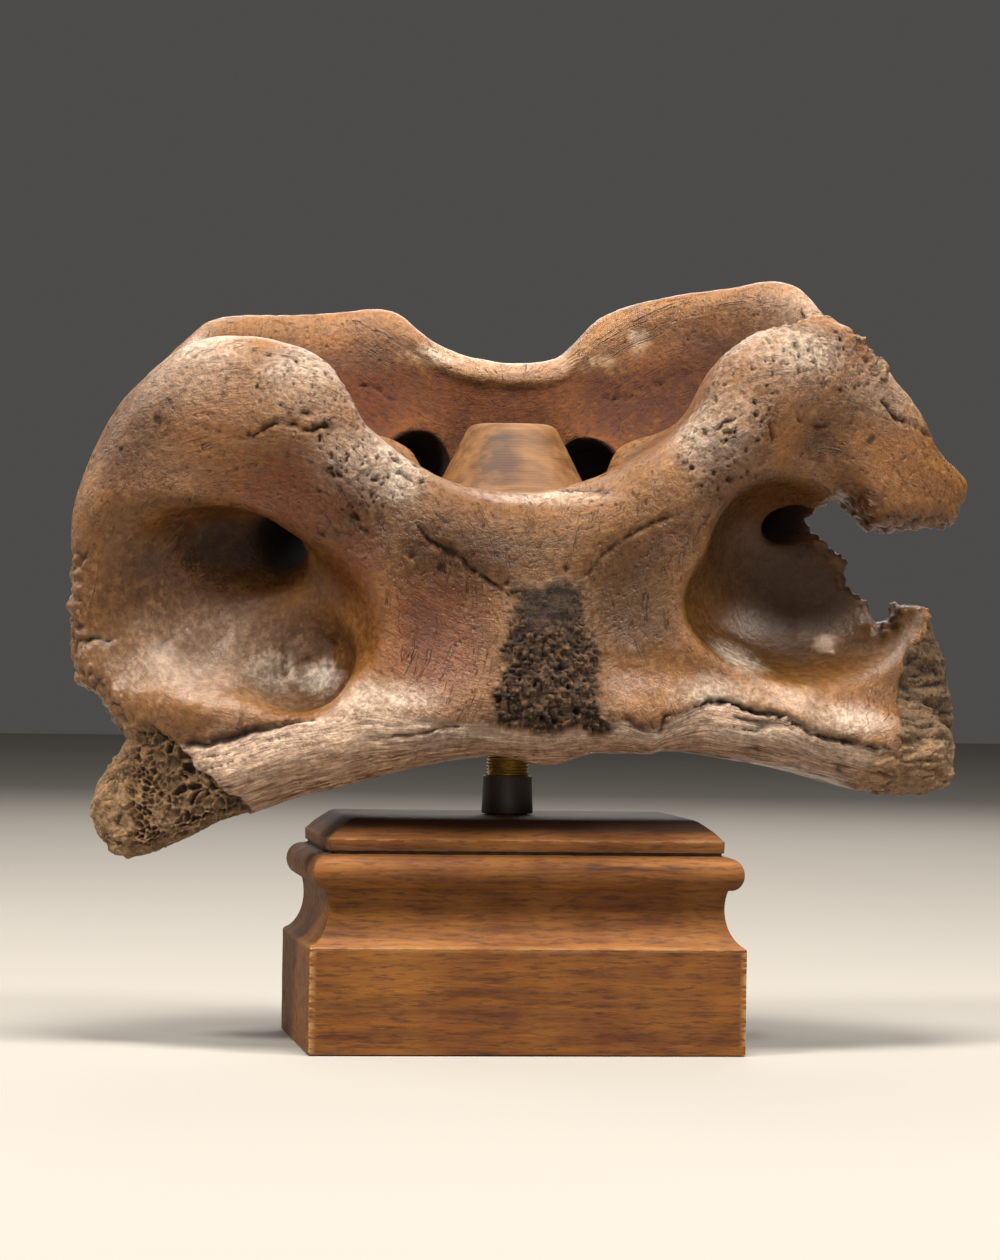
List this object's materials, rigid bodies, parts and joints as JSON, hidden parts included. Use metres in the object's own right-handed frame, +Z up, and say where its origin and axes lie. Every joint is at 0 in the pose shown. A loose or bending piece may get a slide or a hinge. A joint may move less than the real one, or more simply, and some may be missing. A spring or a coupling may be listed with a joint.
{
  "type": "fossil vertebra on stand",
  "caption": "Fossil atlas vertebra of a steppe bison with broken wings, held by a wooden cone and a brass rod on a moulded wooden base.",
  "frame": {"origin": "centre of the wooden base's underside", "axes": "+Z up towards the bone's head end, -Y towards the front (the bone's lower face), +X to the viewer's right"},
  "size_m": [0.2065, 0.0887, 0.1771],
  "materials": {
    "bone": "waxed fossil bone, satin",
    "base_wood": "stained and waxed, satin",
    "brass": "threaded, slightly tarnished",
    "sleeve": "dark satin",
    "cone_wood": "turned and oiled, satin"
  },
  "bodies": {
    "root": {"vertebra": "bone", "base": "base_wood", "threaded_rod": "brass", "rod_collar": "sleeve", "cone_nut": "cone_wood"}
  },
  "joints": []
}
